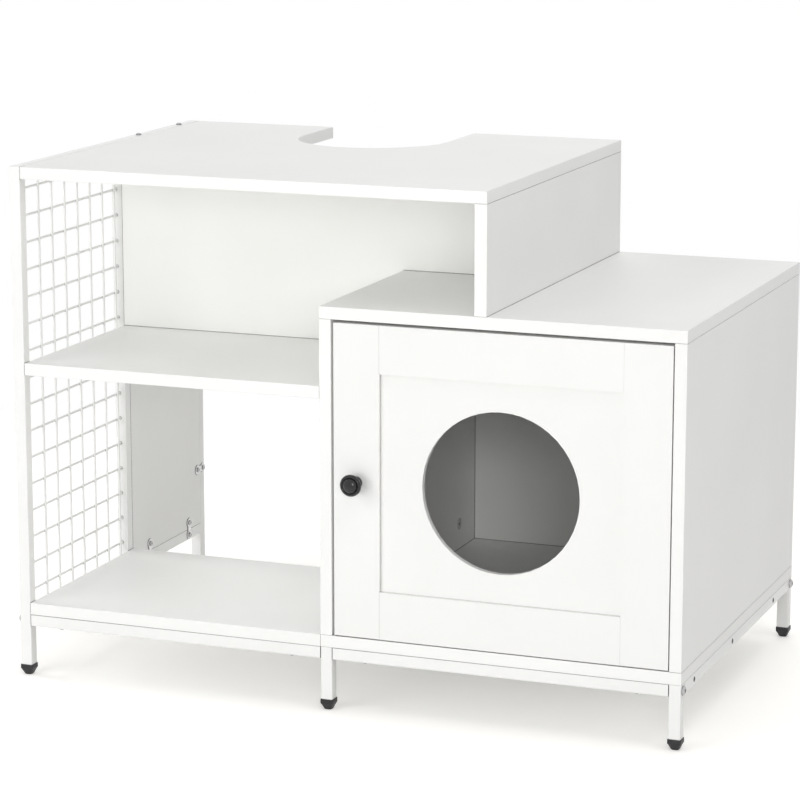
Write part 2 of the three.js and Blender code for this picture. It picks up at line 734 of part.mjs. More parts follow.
function stile(x, grooveX) {
  const board = block([x, 0, doorBottom], [x + stileWidth, doorThickness, doorTop]);
  return board.subtract(groove([grooveX, doorBottom - 1], [grooveX + grooveDepth, doorTop + 1]));
}
addBoard("door_left_stile", stile(doorLeft, stileInnerLeft - grooveDepth));
addBoard("door_right_stile", stile(stileInnerRight, stileInnerRight));

function doorRail(z, grooveZ) {
  const low = stileInnerLeft - tongueDepth;
  const high = stileInnerRight + tongueDepth;
  const board = block([stileInnerLeft, 0, z], [stileInnerRight, doorThickness, z + doorRailWidth]);
  const tongue = block([low, panelFront, z], [high, panelBack, z + doorRailWidth]);
  return board.add(tongue).subtract(groove([low - 1, grooveZ], [high + 1, grooveZ + grooveDepth]));
}
addBoard("door_bottom_rail", doorRail(doorBottom, doorRailInnerLow - grooveDepth));
addBoard("door_top_rail", doorRail(doorRailInnerHigh, doorRailInnerHigh));

const panel = block(
  [stileInnerLeft - tongueDepth, panelFront, doorRailInnerLow - tongueDepth],
  [stileInnerRight + tongueDepth, panelBack, doorRailInnerHigh + tongueDepth],
);
const catHole = rod("y", [holeX, 0, holeZ], catHoleRadius, doorThickness, 48);
addBoard("door_panel", panel.subtract(catHole));

// A mushroom knob: a round foot, a neck, a head with a rim, a groove and a dome inside the rim.
const knobShape = turned([
  [0, knobHoleDepth],
  [knobScrewRadius + fitGap, knobHoleDepth],
  [knobScrewRadius + fitGap, 0],
  [knobFootRadius - 0.3, 0],
  [knobFootRadius, 1],
  [knobFootRadius - 0.3, 2.6],
  [knobFootRadius * 0.77, 5],
  [knobFootRadius * 0.73, 9],
  [knobFootRadius * 0.93, 12],
  [knobRadius - 1, knobRimHeight - 5],
  [knobRadius, knobRimHeight - 3],
  [knobRadius, knobRimHeight - 1.5],
  [knobRadius - 1, knobRimHeight],
  [knobDomeRadius + 1, knobRimHeight],
  [knobDomeRadius, knobRimHeight - 0.6],
  [knobDomeRadius - 0.9, knobRimHeight + 1],
  [knobDomeRadius * 0.6, knobProjection - 1],
  [knobDomeRadius * 0.25, knobProjection - 0.1],
  [0, knobProjection],
], 24);
add("knob", blackMetal, aimed(knobShape, "-y", [knobX, 0, holeZ]), [knobX, 0, holeZ]);
const knobScrew = turned([
  [0, -screwHeadHeight],
  [knobScrewHeadRadius * 0.55, -screwHeadHeight],
  [knobScrewHeadRadius, -screwHeadHeight * 0.45],
  [knobScrewHeadRadius, 0],
  [knobScrewRadius, 0],
  [knobScrewRadius, doorThickness + knobScrewReach],
  [0, doorThickness + knobScrewReach],
], 12);
add("knob_screw", zinc, aimed(knobScrew, "-y", knobSeat), knobSeat);

// ---------------------------------------------------------------- the middle of the footprint to 0, 0
const bounds = new THREE.Box3().setFromObject(cabinet);
const middle = bounds.getCenter(new THREE.Vector3());
cabinet.position.set(-middle.x, -middle.y, 0);

export default cabinet;
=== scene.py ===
"""Looks for the cat litter box cabinet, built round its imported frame."""

import math

import bmesh
import bpy
from mathutils import Matrix, Vector


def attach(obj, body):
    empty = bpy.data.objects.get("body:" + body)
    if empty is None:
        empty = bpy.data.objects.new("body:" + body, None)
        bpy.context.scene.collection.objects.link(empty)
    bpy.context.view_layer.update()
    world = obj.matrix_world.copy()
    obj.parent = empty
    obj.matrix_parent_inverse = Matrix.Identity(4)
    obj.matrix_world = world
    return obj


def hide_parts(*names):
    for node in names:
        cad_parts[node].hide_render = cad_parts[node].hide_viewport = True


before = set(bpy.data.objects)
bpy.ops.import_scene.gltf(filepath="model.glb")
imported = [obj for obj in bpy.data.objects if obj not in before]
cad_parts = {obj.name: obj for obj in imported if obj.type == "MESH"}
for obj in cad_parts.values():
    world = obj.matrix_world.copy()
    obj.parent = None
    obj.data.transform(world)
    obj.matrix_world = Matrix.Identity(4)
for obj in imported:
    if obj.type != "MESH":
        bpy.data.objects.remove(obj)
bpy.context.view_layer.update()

# Sizes of the object are in millimetres, with x from the left face of the frame, y from its front
# face and z from the floor. The row's frame has its origin in the middle of the footprint.
MIDDLE = Vector((427.5, 247.925, 0))
MM = 0.001
RIGHT_FACE = 855
TOP_FACE = 640
BAY_RIGHT = 406
INSIDE_LEFT, INSIDE_RIGHT = 421, 840  # faces inside the cabinet
FRONT, MID, REAR = 7.5, 284.5, 512.5  # middles of the front, middle and rear tubes
RAIL_MIDDLE, RAIL_BOTTOM = 71.5, 64
SHARP_EDGE = math.radians(38)


def place(x, y, z):
    return (Vector((x, y, z)) - MIDDLE) * MM


# ---------------------------------------------------------------- materials
class Nodes:
    """A node tree that is filled in a line per node."""

    def __init__(self, tree):
        self.tree = tree

    def add(self, kind, settings=(), **inputs):
        node = self.tree.nodes.new(kind)
        for key, value in dict(settings).items():
            setattr(node, key, value)
        for key, value in inputs.items():
            socket = node.inputs[key.replace("_", " ")]
            if isinstance(value, bpy.types.NodeSocket):
                self.tree.links.new(value, socket)
            else:
                socket.default_value = value
        return node

    def link(self, a, b):
        self.tree.links.new(a, b)


def new_material(name):
    material = bpy.data.materials.new(name)
    material.use_nodes = True
    tree = material.node_tree
    tree.nodes.clear()
    nodes = Nodes(tree)
    output = nodes.add("ShaderNodeOutputMaterial")
    shader = nodes.add("ShaderNodeBsdfPrincipled")
    nodes.link(shader.outputs["BSDF"], output.inputs["Surface"])
    where = nodes.add("ShaderNodeTexCoord").outputs["Object"]
    return material, nodes, shader, where


def noise(nodes, where, scale, detail=3.0, roughness=0.5):
    return nodes.add(
        "ShaderNodeTexNoise", Vector=where, Scale=scale, Detail=detail, Roughness=roughness
    )


def spread(nodes, value, low, high):
    """Stretches the middle of a noise over a range of values."""
    return nodes.add(
        "ShaderNodeMapRange",
        Value=value,
        From_Min=0.3,
        From_Max=0.7,
        To_Min=low,
        To_Max=high,
    ).outputs["Result"]


def between(nodes, value, one, two, from_low=0.35, from_high=0.65):
    """Goes from one colour to another with the value."""
    ramp = nodes.add("ShaderNodeValToRGB", Fac=value)
    ramp.color_ramp.elements[0].position = from_low
    ramp.color_ramp.elements[0].color = (*one, 1)
    ramp.color_ramp.elements[1].position = from_high
    ramp.color_ramp.elements[1].color = (*two, 1)
    return ramp.outputs["Color"]


def painted_joint_shade(nodes, colour, reach=1.6, depth=0.12):
    """Paints shade into a colour in joints and inside corners, where boards meet: darker where
    ambient occlusion finds surfaces close by.
    """
    hollow = nodes.add("ShaderNodeAmbientOcclusion", {"samples": 6}, Distance=reach * MM)
    openness = nodes.add(
        "ShaderNodeMapRange", Value=hollow.outputs["AO"], From_Min=0.34, From_Max=0.9
    )
    mix = nodes.add("ShaderNodeMix", {"data_type": "RGBA"})
    nodes.link(openness.outputs["Result"], mix.inputs[0])
    # The dark tone of the painted shade.
    mix.inputs[6].default_value = (depth, depth * 0.97, depth * 0.92, 1)
    nodes.link(colour, mix.inputs[7])
    return mix.outputs[2]


def bumped(nodes, shader, layers):
    """Bump layers of (height socket, depth in metres), one on the other."""
    normal = None
    for height, depth in layers:
        bump = nodes.add("ShaderNodeBump", Strength=1.0, Distance=depth, Height=height)
        if normal is not None:
            nodes.link(normal, bump.inputs["Normal"])
        normal = bump.outputs["Normal"]
    nodes.link(normal, shader.inputs["Normal"])


def laminate(name, tone, warm):
    """White melamine: a fine pearl grain, a slight waviness and a faint unevenness of tone."""
    material, nodes, shader, where = new_material(name)
    cloud = noise(nodes, where, 5.0, 4.0).outputs["Fac"]
    grain = noise(nodes, where, 1400.0, 2.0).outputs["Fac"]
    wave = noise(nodes, where, 24.0, 1.0).outputs["Fac"]
    light = (tone, tone, tone - warm)
    dark = (tone * 0.978, tone * 0.978, (tone - warm) * 0.974)
    # The base colour gets painted shade in joints and inside corners.
    nodes.link(painted_joint_shade(nodes, between(nodes, cloud, dark, light)), shader.inputs["Base Color"])
    nodes.link(spread(nodes, grain, 0.36, 0.5), shader.inputs["Roughness"])
    shader.inputs["Specular IOR Level"].default_value = 0.42
    bumped(nodes, shader, [(wave, 0.00012), (grain, 0.00003)])
    return material


def painted_board(name, tone):
    """Sprayed MDF: the small orange peel of the lacquer."""
    material, nodes, shader, where = new_material(name)
    cloud = noise(nodes, where, 7.0, 3.0).outputs["Fac"]
    peel = noise(nodes, where, 420.0, 1.0).outputs["Fac"]
    fine = noise(nodes, where, 1800.0, 2.0).outputs["Fac"]
    light = (tone, tone, tone - 0.012)
    dark = (tone * 0.982, tone * 0.982, (tone - 0.012) * 0.98)
    # The base colour gets painted shade in joints and inside corners.
    colour = painted_joint_shade(nodes, between(nodes, cloud, dark, light), 1.2, 0.42)
    nodes.link(colour, shader.inputs["Base Color"])
    nodes.link(spread(nodes, peel, 0.33, 0.43), shader.inputs["Roughness"])
    bumped(nodes, shader, [(peel, 0.00004), (fine, 0.000012)])
    return material


def powder_coat(name, tone):
    """Powder coat on steel tube: an even fine texture and a soft sheen."""
    material, nodes, shader, where = new_material(name)
    cloud = noise(nodes, where, 9.0, 3.0).outputs["Fac"]
    peel = noise(nodes, where, 700.0, 2.0).outputs["Fac"]
    light = (tone, tone, tone - 0.01)
    dark = (tone * 0.97, tone * 0.97, (tone - 0.01) * 0.966)
    # The base colour gets painted shade in joints and inside corners.
    nodes.link(painted_joint_shade(nodes, between(nodes, cloud, dark, light)), shader.inputs["Base Color"])
    nodes.link(spread(nodes, peel, 0.27, 0.4), shader.inputs["Roughness"])
    shader.inputs["Coat Weight"].default_value = 0.2
    shader.inputs["Coat Roughness"].default_value = 0.25
    bumped(nodes, shader, [(peel, 0.00006)])
    return material


def moulded_black(name):
    """Matte moulded plastic with a spark-eroded grain and scuffs that show a little lighter."""
    material, nodes, shader, where = new_material(name)
    grain = noise(nodes, where, 1600.0, 2.0).outputs["Fac"]
    scuff = noise(nodes, where, 90.0, 6.0, 0.7).outputs["Fac"]
    colour = between(nodes, scuff, (0.012, 0.012, 0.013), (0.034, 0.034, 0.035), 0.5, 0.75)
    nodes.link(colour, shader.inputs["Base Color"])
    nodes.link(spread(nodes, grain, 0.4, 0.6), shader.inputs["Roughness"])
    bumped(nodes, shader, [(grain, 0.00005)])
    return material


def lacquered_black(name):
    """Satin black lacquer on cast metal."""
    material, nodes, shader, where = new_material(name)
    cloud = noise(nodes, where, 160.0, 4.0).outputs["Fac"]
    fine = noise(nodes, where, 2600.0, 2.0).outputs["Fac"]
    colour = between(nodes, cloud, (0.004, 0.004, 0.005), (0.009, 0.009, 0.010))
    nodes.link(colour, shader.inputs["Base Color"])
    nodes.link(spread(nodes, fine, 0.2, 0.3), shader.inputs["Roughness"])
    shader.inputs["Specular IOR Level"].default_value = 0.42
    shader.inputs["Coat Weight"].default_value = 0.25
    shader.inputs["Coat Roughness"].default_value = 0.1
    bumped(nodes, shader, [(fine, 0.00002)])
    return material


def plated(name, tone, low, high, stretch, corner_shade_tone):
    """Plated steel: fine drawn lines along one way, a cloudy tone and painted shade in its corners
    and recesses.
    """
    material, nodes, shader, where = new_material(name)
    mapping = nodes.add("ShaderNodeMapping", Vector=where)
    mapping.inputs["Scale"].default_value = stretch
    lines = noise(nodes, mapping.outputs["Vector"], 900.0, 3.0).outputs["Fac"]
    cloud = noise(nodes, where, 120.0, 4.0).outputs["Fac"]
    dark = tuple(value * 0.82 for value in tone)
    # Painted shade in corners and recesses, such as round the base of a head.
    colour = painted_joint_shade(nodes, between(nodes, cloud, dark, tone), 2.4, corner_shade_tone)
    nodes.link(colour, shader.inputs["Base Color"])
    nodes.link(spread(nodes, lines, low, high), shader.inputs["Roughness"])
    shader.inputs["Metallic"].default_value = 1.0
    bumped(nodes, shader, [(lines, 0.00001)])
    return material


BOARD = laminate("white_laminate", 0.88, 0.012)
# A lighter copy of the white laminate: painted brightness that stands in for more light inside the
# bays.
BRIGHTER_LAMINATE = laminate("white_laminate_painted_brighter", 0.92, 0.02)
DOOR = painted_board("white_sprayed_board", 0.85)
COAT = powder_coat("white_powder_coat", 0.86)
WIRE = powder_coat("white_coated_wire", 0.88)
BLACK_PLASTIC = moulded_black("black_moulded_plastic")
BLACK_LACQUER = lacquered_black("black_lacquer")
DRAWN_ALONG_X, DRAWN_ALONG_Z = (0.3, 1, 1), (1, 1, 0.2)
# The last number of each plated finish is the tone of its painted shade in corners.
ZINC = plated("zinc_screw", (0.5, 0.5, 0.505), 0.24, 0.4, DRAWN_ALONG_Z, 0.04)
SHEET_ZINC = plated("zinc_sheet", (0.74, 0.74, 0.745), 0.34, 0.5, DRAWN_ALONG_Z, 0.2)
NICKEL = plated("nickel_plate", (0.66, 0.65, 0.63), 0.18, 0.32, DRAWN_ALONG_X, 0.1)


# ---------------------------------------------------------------- solids that stay
BOARD_EDGE, WIDE_BOARD_EDGE = 0.55, 0.9
STILE_EDGE, PANEL_EDGE = 0.6, 0.5
METAL_EDGE, HINGE_EDGE, SCREW_EDGE = 0.25, 0.2, 0.15
TUBE_LIMIT = 60


def dress(name, material, edge, limit=40):
    """A CAD solid keeps its shape and gets its finish, with the small round of a real edge.

    Edges that turn by more than the limit, in degrees, are rounded.
    """
    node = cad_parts[name]
    node.data.materials.clear()
    node.data.materials.append(material)
    node.data.shade_smooth()
    weld = node.modifiers.new("weld", "WELD")
    weld.merge_threshold = 2e-6
    bevel = node.modifiers.new("edge", "BEVEL")
    bevel.width = edge * MM
    bevel.segments = 2
    bevel.limit_method = "ANGLE"
    bevel.angle_limit = math.radians(limit)
    normals = node.modifiers.new("normals", "WEIGHTED_NORMAL")
    normals.weight = 90
    normals.keep_sharp = False


for name in (
    "shelf",
    "left_bottom_board",
    "rear_left_panel",
    "upper_right_panel",
    "cabinet_bottom",
    "cabinet_top",
    "cabinet_left_side",
):
    dress(name, BOARD, BOARD_EDGE)
for name in ("top_board", "cabinet_right_side"):
    dress(name, BOARD, WIDE_BOARD_EDGE)
# The back panels take the lighter copy of the laminate, painted brighter for the light in the bays.
for name in ("upper_back_panel", "cabinet_back"):
    dress(name, BRIGHTER_LAMINATE, BOARD_EDGE)
for name in ("door_left_stile", "door_right_stile", "door_bottom_rail", "door_top_rail"):
    dress(name, DOOR, STILE_EDGE)
dress("door_panel", DOOR, PANEL_EDGE)
for name in ("left_side_frame", "mid_leg_frame", "right_leg_frame"):
    dress(name, COAT, METAL_EDGE, TUBE_LIMIT)
for name in ("left_front_rail", "left_cross_rail", "cabinet_front_rail", "cabinet_rear_rail"):
    dress(name, COAT, METAL_EDGE, TUBE_LIMIT)
for end in ("front", "rear", "low", "high"):
    dress(f"mounting_plate_{end}", SHEET_ZINC, METAL_EDGE)
for end in ("bottom", "top"):
    for kind in ("plate", "arm", "link", "cup"):
        dress(f"hinge_{kind}_{end}", NICKEL, HINGE_EDGE)
for name in ("frame_stud_mid_front", "knob_screw"):
    dress(name, ZINC, SCREW_EDGE)


# ---------------------------------------------------------------- mesh building
def finish_mesh(name, mesh, material, body, smooth=True):
    """Turns a mesh into a piece that rides on a body and has its material and slot."""
    bmesh.ops.recalc_face_normals(mesh, faces=mesh.faces)
    data = bpy.data.meshes.new(name)
    mesh.to_mesh(data)
    mesh.free()
    data.materials.append(material)
    if smooth:
        data.shade_smooth()
        data.set_sharp_from_angle(angle=SHARP_EDGE)
    piece = bpy.data.objects.new(name, data)
    bpy.context.scene.collection.objects.link(piece)
    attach(piece, body)
    return piece


def towards(direction, point):
    """A matrix that turns +Z to a direction and moves it to a point of the design, in metres."""
    turn = Vector(direction).to_track_quat("Z", "Y").to_matrix().to_4x4()
    return Matrix.Translation(place(*point)) @ turn


def ring(mesh, points):
    return [mesh.verts.new(point) for point in points]


def bridge(mesh, one, two):
    """A band of faces between two rings of as many points."""
    count = len(one)
    for i in range(count):
        j = (i + 1) % count
        mesh.faces.new((one[i], one[j], two[j], two[i]))


def lathe(mesh, profile, sides, matrix):
    """A closed body of revolution from [radius, height] points in millimetres, from axis to axis."""
    rings = []
    for radius, height in profile:
        if radius == 0:
            rings.append([mesh.verts.new(matrix @ Vector((0, 0, height * MM)))])
            continue
        angles = [2 * math.pi * i / sides for i in range(sides)]
        points = [
            matrix @ Vector((radius * MM * math.cos(a), radius * MM * math.sin(a), height * MM))
            for a in angles
        ]
        rings.append(ring(mesh, points))
    for one, two in zip(rings, rings[1:]):
        if len(one) == 1 or len(two) == 1:
            tip, loop = (one[0], two) if len(one) == 1 else (two[0], one)
            for i in range(sides):
                mesh.faces.new((tip, loop[i], loop[(i + 1) % sides]))
        else:
            bridge(mesh, one, two)


def prism(mesh, outline, low, high, matrix):
    """An outline of [x, y] points raised from one height to another, in millimetres."""
    rings = [
        ring(mesh, [matrix @ Vector((x * MM, y * MM, z * MM)) for x, y in outline])
        for z in (low, high)
    ]
    bridge(mesh, *rings)
    mesh.faces.new(rings[0])
    mesh.faces.new(rings[1])


def cross(outer, inner):
    """The outline of a cross-shaped recess with pointed arms."""
    points = []
    for i in range(8):
        angle = math.pi * i / 4
        radius = outer if i % 2 == 0 else inner
        points.append((radius * math.cos(angle), radius * math.sin(angle)))
    return points


def cut(piece, mesh, body, material):
    """Cuts a closed mesh out of a piece and applies the cut."""
    tool = finish_mesh(piece.name + "_cut", mesh, material, body, False)
    boolean = piece.modifiers.new("cut", "BOOLEAN")
    boolean.operation = "DIFFERENCE"
    boolean.solver = "EXACT"
    boolean.object = tool
    graph = bpy.context.evaluated_depsgraph_get()
    done = bpy.data.meshes.new_from_object(piece.evaluated_get(graph))
    piece.modifiers.clear()
    piece.data = done
    piece.data.set_sharp_from_angle(angle=SHARP_EDGE)
    bpy.data.objects.remove(tool)
    return piece


# ---------------------------------------------------------------- screws and bolts
PAN_HEAD = [
    (0, 2.4),
    (1.4, 2.38),
    (2.5, 2.15),
    (3.2, 1.65),
    (3.55, 0.9),
    (3.6, 0.2),
    (3.5, 0),
    (0, 0),
]


def pan_screws(name, body, seats, scale=1.0, material=ZINC):
    """Cross-recessed pan heads at (point, outward direction) seats, as one piece."""
    heads, recesses = bmesh.new(), bmesh.new()
    for point, direction in seats:
        matrix = towards(direction, point)
        lathe(heads, [(r * scale, h * scale) for r, h in PAN_HEAD], 32, matrix)
        prism(recesses, cross(1.9 * scale, 0.55 * scale), 1.0 * scale, 3.4 * scale, matrix)
    return cut(finish_mesh(name, heads, material, body), recesses, body, material)


HEX_BOLT_HEAD = [
    (0, 3.2),
    (2.6, 3.2),
    (3.4, 3.12),
    (4.6, 2.5),
    (5.45, 1.35),
    (5.72, 0.4),
    (5.65, 0),
    (0, 0),
]


SOCKET_RADIUS = 2.3
HEXAGON = [
    (SOCKET_RADIUS * math.cos(math.pi * i / 3), SOCKET_RADIUS * math.sin(math.pi * i / 3))
    for i in range(6)
]
LEFT, RIGHT, UP, DOWN, BACK = (-1, 0, 0), (1, 0, 0), (0, 0, 1), (0, 0, -1), (0, 1, 0)
for name, x, y, direction in (
    ("frame_bolt_left_front", 0, FRONT, LEFT),
    ("frame_bolt_left_mid", 0, MID, LEFT),
    ("frame_bolt_mid_cross", INSIDE_LEFT, MID, RIGHT),
    ("frame_bolt_mid_rear", BAY_RIGHT, REAR, LEFT),
    ("frame_bolt_right_front", RIGHT_FACE, FRONT, RIGHT),
    ("frame_bolt_right_rear", RIGHT_FACE, REAR, RIGHT),
):
    matrix = towards(direction, (x, y, RAIL_MIDDLE))
    head, socket = bmesh.new(), bmesh.new()
    lathe(head, HEX_BOLT_HEAD, 48, matrix)
    prism(socket, HEXAGON, 1.0, 4.0, matrix)
    bolt = cut(finish_mesh(name + "_head", head, ZINC, "cabinet"), socket, "cabinet", ZINC)
    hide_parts(name)

SIDE_SCREWS = [(FRONT, 390.5), (MID, 390.5), (74, 632.5), (203, 632.5), (MID, 511.5)]
pan_screws("side_screws", "cabinet", [((0, y, z), LEFT) for y, z in SIDE_SCREWS])
pan_screws("top_rail_screws", "cabinet", [((7.5, y, TOP_FACE), UP) for y in (345, 469)])
pan_screws(
    "rail_screws",
    "cabinet",
    [((x, y, RAIL_BOTTOM), DOWN) for x in (55, 366) for y in (FRONT, MID)]
    + [((x, y, RAIL_BOTTOM), DOWN) for x in (461, 800) for y in (FRONT, REAR)],
)
PLATE_FACE = 16.5
PLATE_SCREWS = [(y, z) for y in (342, 466) for z in (RAIL_MIDDLE, 88.5)]
PLATE_SCREWS += [(y, z) for z in (157, 540) for y in (495.5, REAR)]
pan_screws(
    "mounting_plate_screws", "cabinet", [((PLATE_FACE, y, z), RIGHT) for y, z in PLATE_SCREWS], 0.92
)

# Black caps in the three holes of the right rail.
CAP_SETBACKS = (56, 226, 425)
CAP = [(0, 0.55), (1.6, 0.5), (2.7, 0.32), (3.3, 0.02), (3.3, 0), (2.9, 0), (2.7, -3.2), (0, -3.2)]
caps = bmesh.new()
for y in CAP_SETBACKS:
    lathe(caps, CAP, 32, towards(RIGHT, (RIGHT_FACE, y, RAIL_MIDDLE)))
finish_mesh("rail_hole_caps", caps, BLACK_PLASTIC, "cabinet")

HINGES = {"bottom": 170.25, "top": 400.5}
CUP_SEAT = (808.8, 16.2)
PLATE_SEAT = (838, 52)
for end, height in HINGES.items():
    for word, sign in (("lower", -1), ("upper", 1)):
        cup = pan_screws(
            f"cup_screw_head_{end}_{word}",
            "door",
            [((*CUP_SEAT, height + sign * 22.5), BACK)],
            0.98,
            NICKEL,
        )
        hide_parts(f"hinge_cup_screw_{end}_{word}")
        fixing = pan_screws(
            f"plate_screw_head_{end}_{word}",
            "cabinet",
            [((*PLATE_SEAT, height + sign * 16), LEFT)],
            0.98,
            NICKEL,
        )
        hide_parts(f"hinge_plate_screw_{end}_{word}")
pan_screws(
    "hinge_arm_screws",
    "cabinet",
    [((827.5, 68, z), LEFT) for z in HINGES.values()],
    0.9,
    NICKEL,
)

# ---------------------------------------------------------------- cam locks
CAM = [(0, -0.3), (5.9, -0.3), (6.9, -0.35), (7.45, -0.8), (7.45, -11), (0, -11)]


def cam_locks(name, seats):
    """Cam locks sunk into a board's face at (point, outward direction) seats, as one piece."""
    bodies, recesses = bmesh.new(), bmesh.new()
    for point, direction in seats:
        matrix = towards(direction, point)
        lathe(bodies, CAM, 40, matrix)
        prism(recesses, cross(4.3, 1.0), -2.4, 1, matrix)
    return cut(finish_mesh(name, bodies, ZINC, "cabinet"), recesses, "cabinet", ZINC)


CAM_SETBACKS = (74, 446)
UPPER_PANEL_FACE = 600
SHELF_BOTTOM, BAY_FLOOR_BOTTOM = 383, 79
cam_locks(
    "cabinet_cam_locks",
    [
        ((x, y, z), direction)
        for x, direction in ((INSIDE_LEFT, RIGHT), (INSIDE_RIGHT, LEFT))
        for y in CAM_SETBACKS
        for z in (128, 445)
    ],
)
cam_locks(
    "upper_cam_locks", [((UPPER_PANEL_FACE, y, z), LEFT) for y in CAM_SETBACKS for z in (528, 591)]
)
cam_locks(
    "bay_cam_locks",
    [((372, y, z), DOWN) for y in (40, 237) for z in (SHELF_BOTTOM, BAY_FLOOR_BOTTOM)],
)


# ---------------------------------------------------------------- knob
CURVE_STEPS = 4


def curve_through(points):
    """A smooth line through (radius, height) points."""
    line = []
    for i in range(len(points) - 1):
        before = points[max(i - 1, 0)]
        start, end = points[i], points[i + 1]
        after = points[min(i + 2, len(points) - 1)]
        for step in range(CURVE_STEPS):
            t = step / CURVE_STEPS
            value = [
                0.5
                * (
                    2 * b
                    + (c - a) * t
                    + (2 * a - 5 * b + 4 * c - d) * t * t
                    + (3 * b - a - 3 * c + d) * t ** 3
                )
                for a, b, c, d in zip(before, start, end, after)
            ]
            line.append((max(value[0], 0.001), value[1]))
    line.append(points[-1])
    return line


KNOB_AT = (453, 0, 285.375)
KNOB_HEIGHT = 25.0
FOOT_END, HEAD_END, RIM_END = (5.6, 9.6), (12.5, 20.3), (9.2, 20.2)
KNOB_FOOT = [(7.2, 0.0), (7.5, 0.6), (7.5, 1.5), (7.1, 2.7), (5.9, 4.6), (5.5, 7.0), FOOT_END]
KNOB_HEAD = [FOOT_END, (7.0, 12.2), (10.2, 14.6), (12.6, 16.2), (13.2, 17.6), (13.1, 19.2), HEAD_END]
KNOB_RIM = [HEAD_END, (11.8, 20.95), (10.9, 21.1), (10.1, 20.85), (9.6, 20.3), RIM_END]
KNOB_DOME = [RIM_END, (8.9, 20.9), (8.2, 22.1), (6.6, 23.5), (4.4, 24.45), (2.0, 24.92)]
KNOB_DOME.append((0.3, KNOB_HEIGHT))
knob_line = [(0, 0)]
for part in (KNOB_FOOT, KNOB_HEAD, KNOB_RIM):
    knob_line += curve_through(part)[:-1]
knob_line += curve_through(KNOB_DOME) + [(0, KNOB_HEIGHT)]
knob_mesh = bmesh.new()
lathe(knob_mesh, knob_line, 96, towards((0, -1, 0), KNOB_AT))
knob = finish_mesh("mushroom_knob", knob_mesh, BLACK_LACQUER, "door")
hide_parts("knob")


# ---------------------------------------------------------------- feet
CORNER_STEPS = 6


def rounded_square(half, corner, z):
    """The points of a square with round corners, about the upright axis."""
    points = []
    for side in range(4):
        for step in range(CORNER_STEPS + 1):
            angle = (side + step / CORNER_STEPS) * math.pi / 2
            turn = (side + 0.5) * math.pi / 2
            cx = math.copysign(half - corner, math.cos(turn))
            cy = math.copysign(half - corner, math.sin(turn))
            points.append((cx + corner * math.cos(angle), cy + corner * math.sin(angle), z))
    return points


# Each ring's half width, corner radius and height, from the tip up to the collar and down inside it.
FOOT_RINGS = [
    (3.8, 3.0, 0.0),
    (4.5, 3.4, 0.15),
    (5.0, 3.6, 0.6),
    (5.5, 3.6, 1.4),
    (6.5, 3.2, 4.0),
    (7.5, 2.6, 6.4),
    (8.0, 2.2, 7.5),
    (8.3, 2.0, 8.0),
    (8.38, 2.0, 8.5),
    (8.35, 2.0, 12.9),
    (8.2, 2.0, 13.35),
    (7.95, 1.9, 13.5),
    (7.6, 1.6, 13.5),
    (7.6, 1.6, 8.05),
]
FOOT_PLACES = [
    (f"foot_{side}_{end}", x, y)
    for side, x in (("left", 7.5), ("mid", 413.5), ("right", 847.5))
    for end, y in (("front", FRONT), ("rear", REAR))
]
for name, x, y in FOOT_PLACES:
    mesh = bmesh.new()
    rings = [
        ring(mesh, [place(x + px, y + py, pz) for px, py, pz in rounded_square(*size)])
        for size in FOOT_RINGS
    ]
    for one, two in zip(rings, rings[1:]):
        bridge(mesh, one, two)
    mesh.faces.new(rings[0])
    mesh.faces.new(rings[-1])
    bmesh.ops.remove_doubles(mesh, verts=mesh.verts, dist=1e-7)
    foot = finish_mesh(name.replace("foot", "foot_cap"), mesh, BLACK_PLASTIC, "cabinet")
    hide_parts(name)


# ---------------------------------------------------------------- wire side
WIRE_RADIUS = 1.5
LEVEL_WIRES_X, UPRIGHT_WIRES_X = 6.3, 8.7


def wire(mesh, start, end):
    along = Vector(end) - Vector(start)
    matrix = towards(along, start)
    profile = [(0, 0), (WIRE_RADIUS, 0), (WIRE_RADIUS, along.length), (0, along.length)]
    lathe(mesh, profile, 14, matrix)


def bead(mesh, centre, size):
    """A weld bead: a flattened ball."""
    matrix = Matrix.Translation(place(*centre)) @ Matrix.Diagonal((*[s * MM for s in size], 1))
    bmesh.ops.create_icosphere(mesh, subdivisions=2, radius=1.0, matrix=matrix)


mesh = bmesh.new()
LEVELS = [105 + 33.7 * k for k in range(16)]
SETBACKS = [266.5 - 34.7 * j for j in range(7)]
for z in LEVELS:
    wire(mesh, (LEVEL_WIRES_X, 15, z), (LEVEL_WIRES_X, 277, z))
    for y in (15.9, 276.1):
        bead(mesh, (LEVEL_WIRES_X, y, z), (2.1, 1.0, 2.1))
for y in SETBACKS:
    wire(mesh, (UPRIGHT_WIRES_X, y, 79), (UPRIGHT_WIRES_X, y, 625))
    for z in (79.9, 624.1):
        bead(mesh, (UPRIGHT_WIRES_X, y, z), (2.1, 2.1, 1.0))
for y in SETBACKS:
    for z in LEVELS:
        bead(mesh, (7.5, y, z), (1.35, 1.9, 1.9))
grid = finish_mesh("welded_wire_side", mesh, WIRE, "cabinet")
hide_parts("wire_side")


# ---------------------------------------------------------------- floor, light and camera
def camera_like_rays(nodes):
    """1 for the rays that show the background: from the camera, off gloss and through glass."""
    path = nodes.add("ShaderNodeLightPath").outputs
    first = nodes.add("ShaderNodeMath", {"operation": "MAXIMUM"})
    nodes.link(path["Is Camera Ray"], first.inputs[0])
    nodes.link(path["Is Glossy Ray"], first.inputs[1])
    second = nodes.add("ShaderNodeMath", {"operation": "MAXIMUM"})
    nodes.link(first.outputs[0], second.inputs[0])
    nodes.link(path["Is Transmission Ray"], second.inputs[1])
    return second.outputs[0]


AMBIENT = 0.27
FLOOR_LIFT = 0.34
FLOOR_RADIUS = 6.0
FADE_START, FADE_END = 0.9, 1.7

